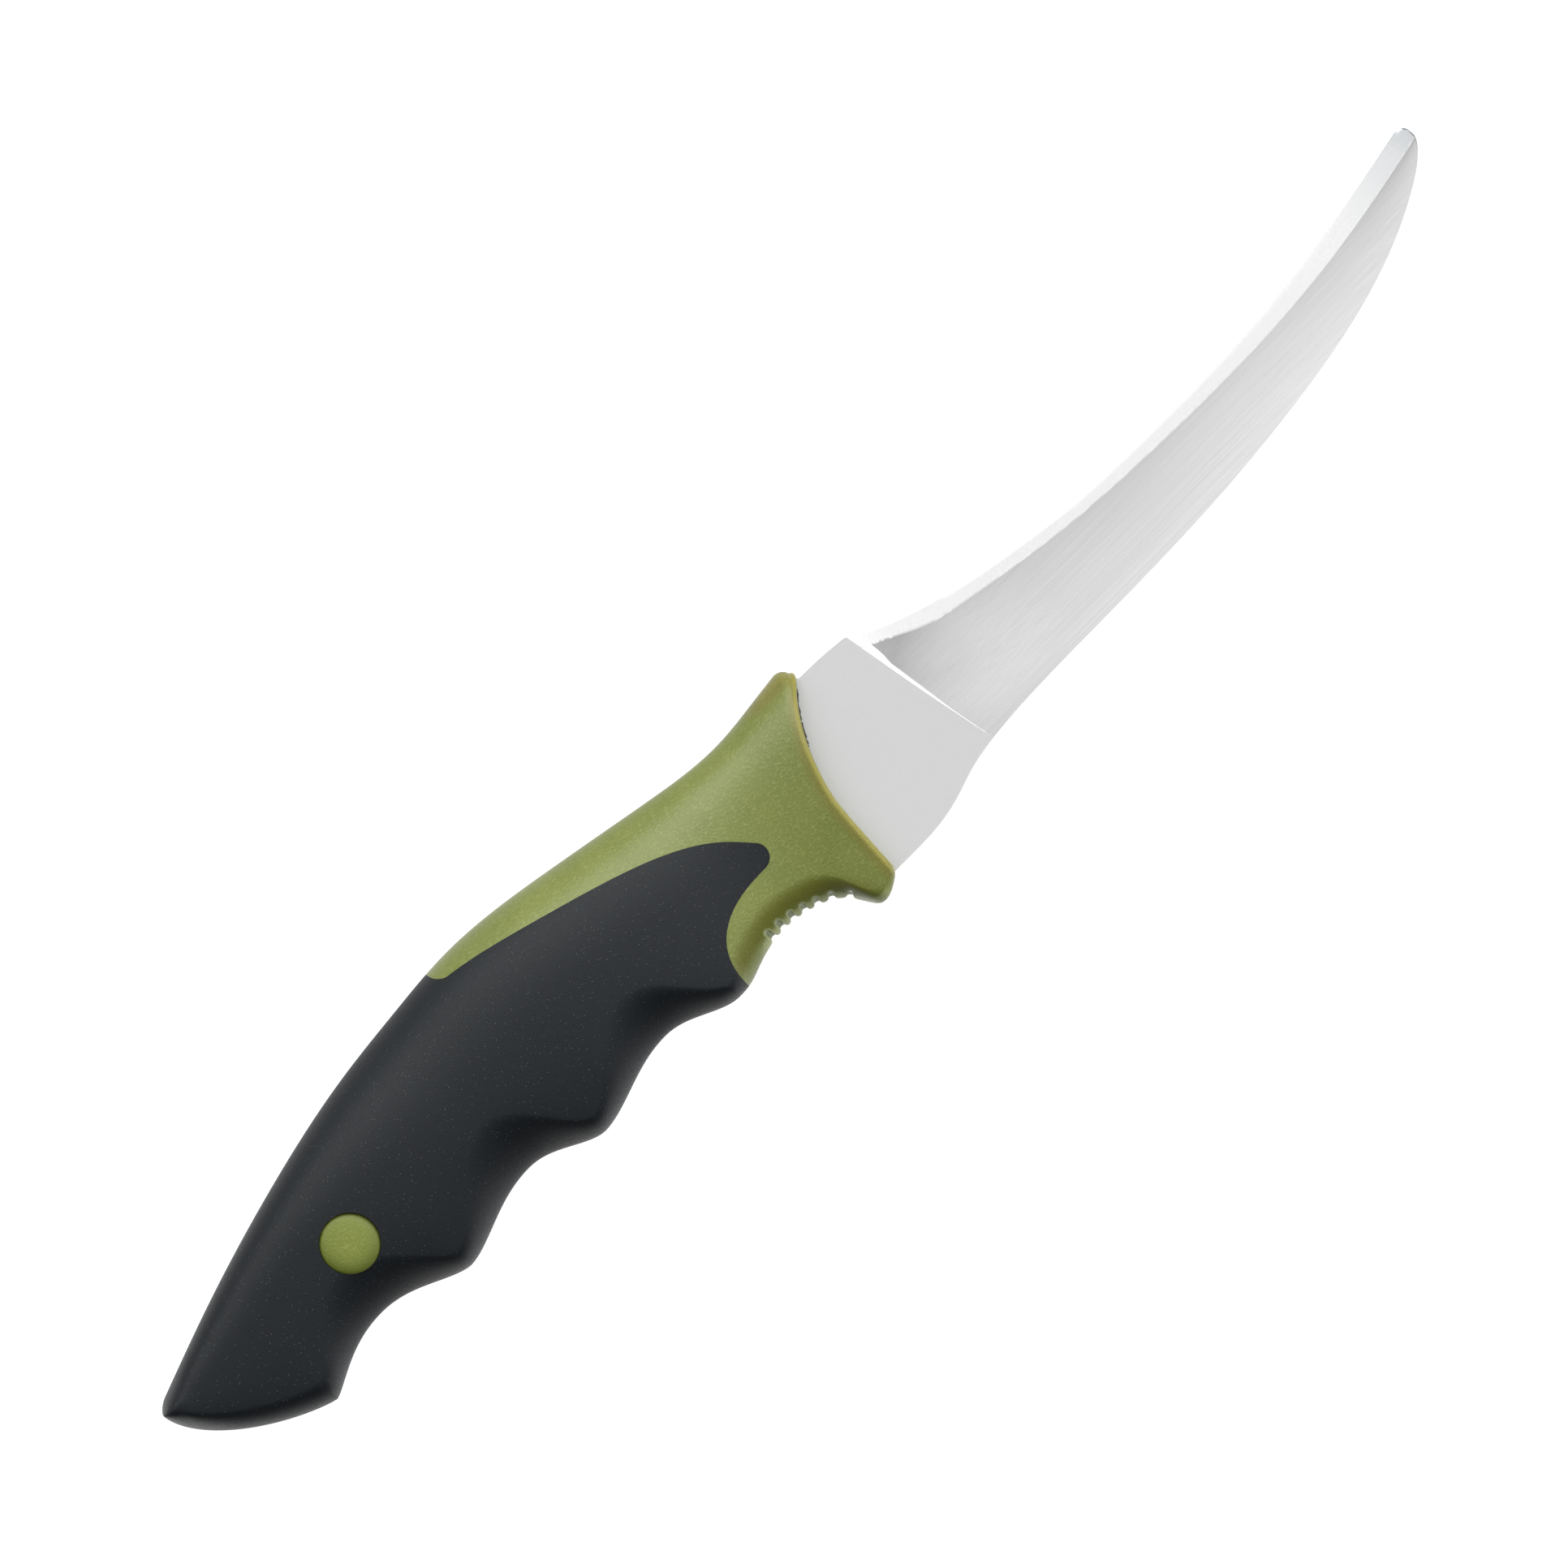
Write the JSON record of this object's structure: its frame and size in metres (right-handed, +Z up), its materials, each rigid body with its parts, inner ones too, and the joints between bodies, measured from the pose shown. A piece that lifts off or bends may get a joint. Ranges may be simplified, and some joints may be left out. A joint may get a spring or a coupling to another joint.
{
  "type": "gutting knife",
  "caption": "Fixed-blade gutting knife with a blunt-tipped blade curved along its edge, and a handle moulded in hard and soft plastic with finger grooves and a jimped index groove.",
  "frame": {"origin": "middle of the bottom of the knife's box, the knife lying on its side", "axes": "+X along the knife to the tip, +Y across it to the cutting edge and the handle's back, +Z up through its thickness"},
  "size_m": [0.2298, 0.0352, 0.0246],
  "materials": {
    "blade_steel": "brushed along the blade",
    "hard_green": "fine spark-eroded grain",
    "soft_black": "matt, fine grain",
    "badge_green": "satin"
  },
  "bodies": {
    "root": {"blade": "blade_steel", "handle_core": "hard_green", "soft_grip": "soft_black", "badge_upper": "badge_green"}
  },
  "joints": []
}
